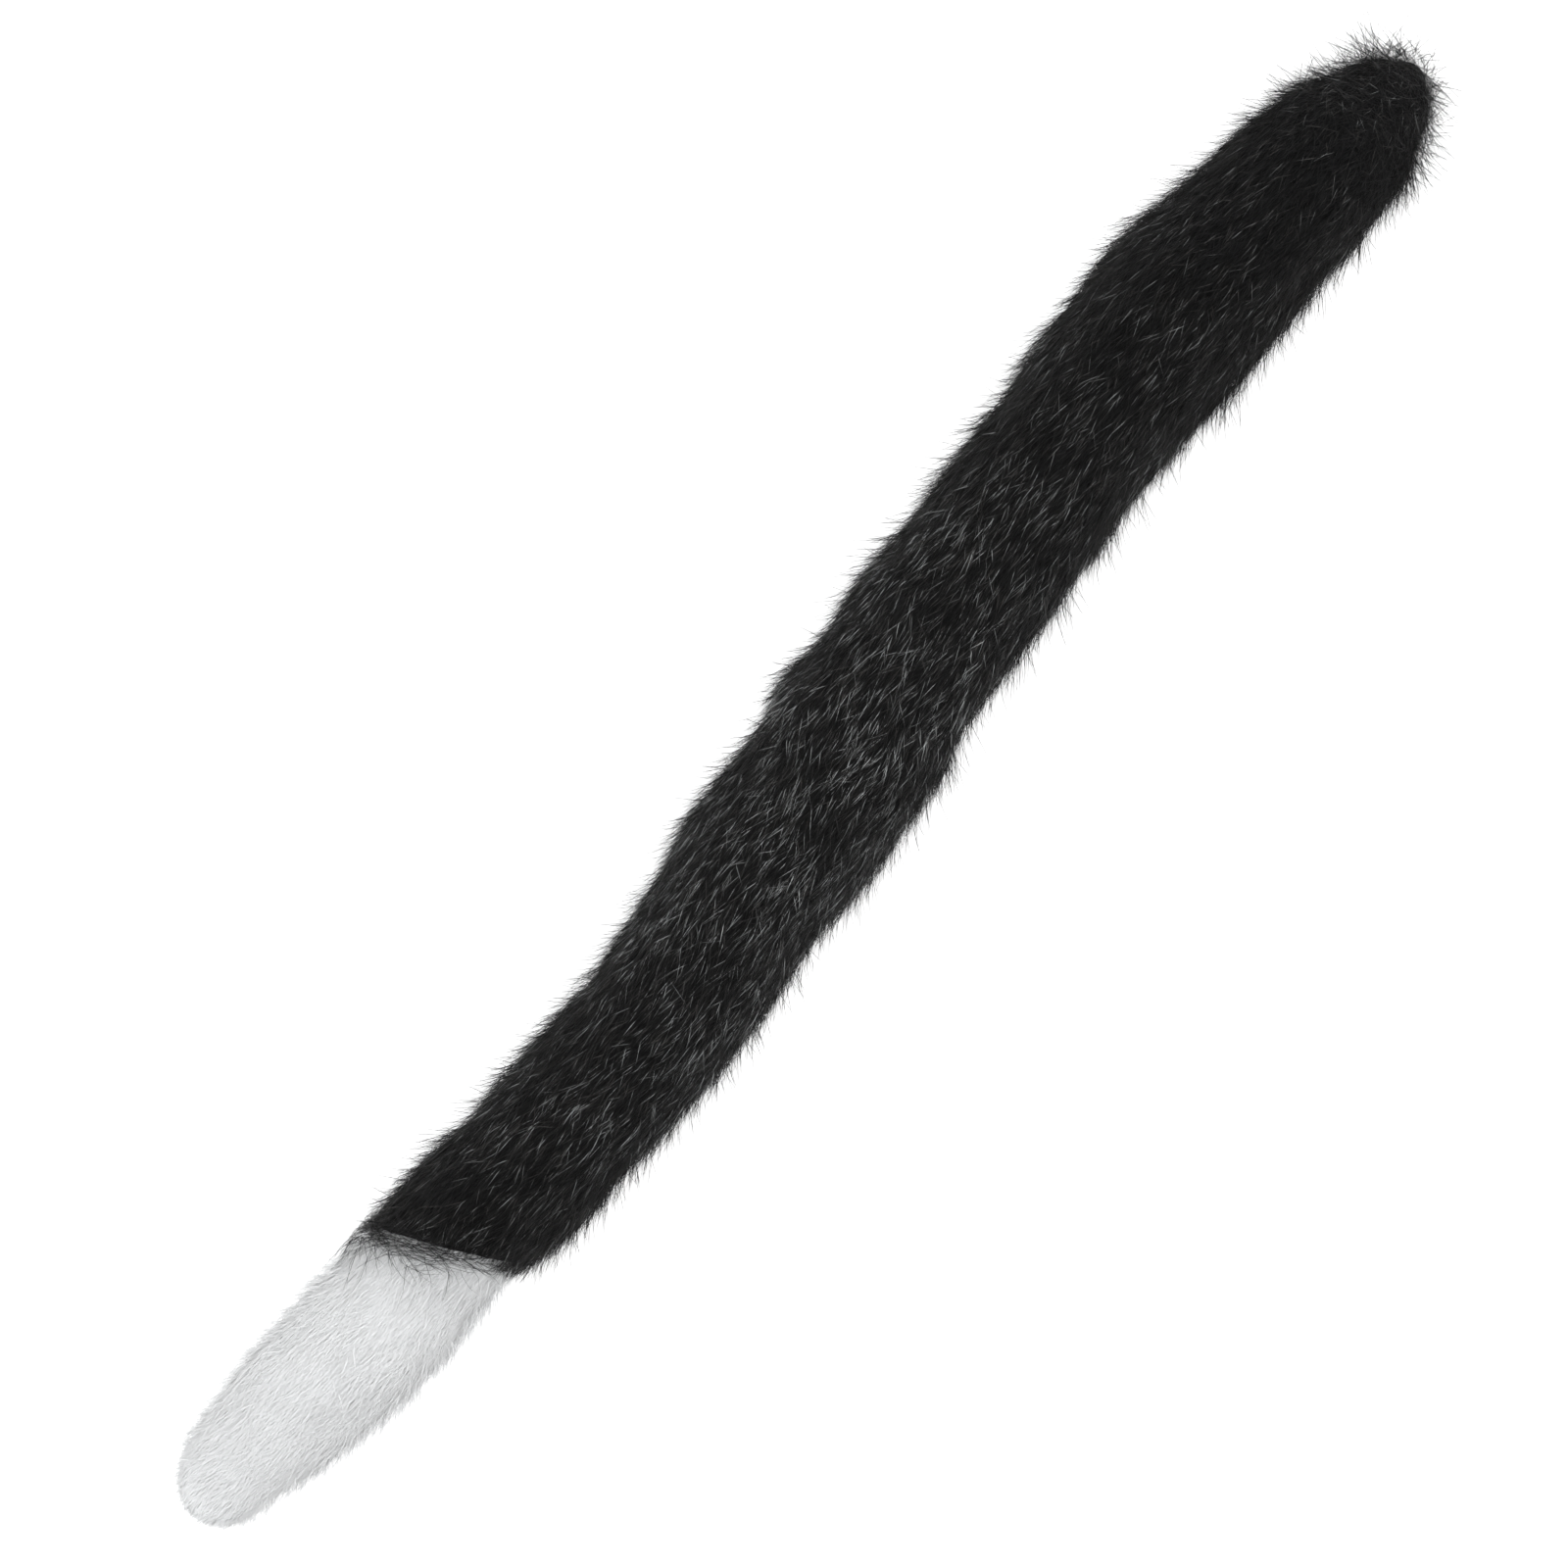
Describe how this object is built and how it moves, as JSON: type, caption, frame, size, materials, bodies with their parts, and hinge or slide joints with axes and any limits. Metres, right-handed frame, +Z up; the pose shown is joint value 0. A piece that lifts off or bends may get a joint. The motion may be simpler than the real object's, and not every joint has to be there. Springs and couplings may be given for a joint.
{
  "type": "costume animal tail",
  "caption": "Long soft costume tail of black faux fur with a white fur tip, stuffed, lying on its flattened underside, with a hidden pin near its rounded root end.",
  "frame": {"origin": "on the floor, under the middle of the tail's bounding box", "axes": "+X towards the rounded root end, -X towards the white tip, +Z up from the floor that the tail lies on"},
  "size_m": [0.6, 0.0754, 0.0471],
  "materials": {
    "black_fur": "black faux fur, combed towards the tip, with grey streaks where the light catches it",
    "white_fur": "cool white faux fur, softly matted",
    "fibre_fill": "loose white polyester fibre",
    "pin_steel": "plated steel wire, slightly dulled"
  },
  "bodies": {
    "root": {"black_fur_sleeve": "black_fur", "white_fur_tip": "white_fur", "stuffing": "fibre_fill", "safety_pin": "pin_steel"}
  },
  "joints": []
}
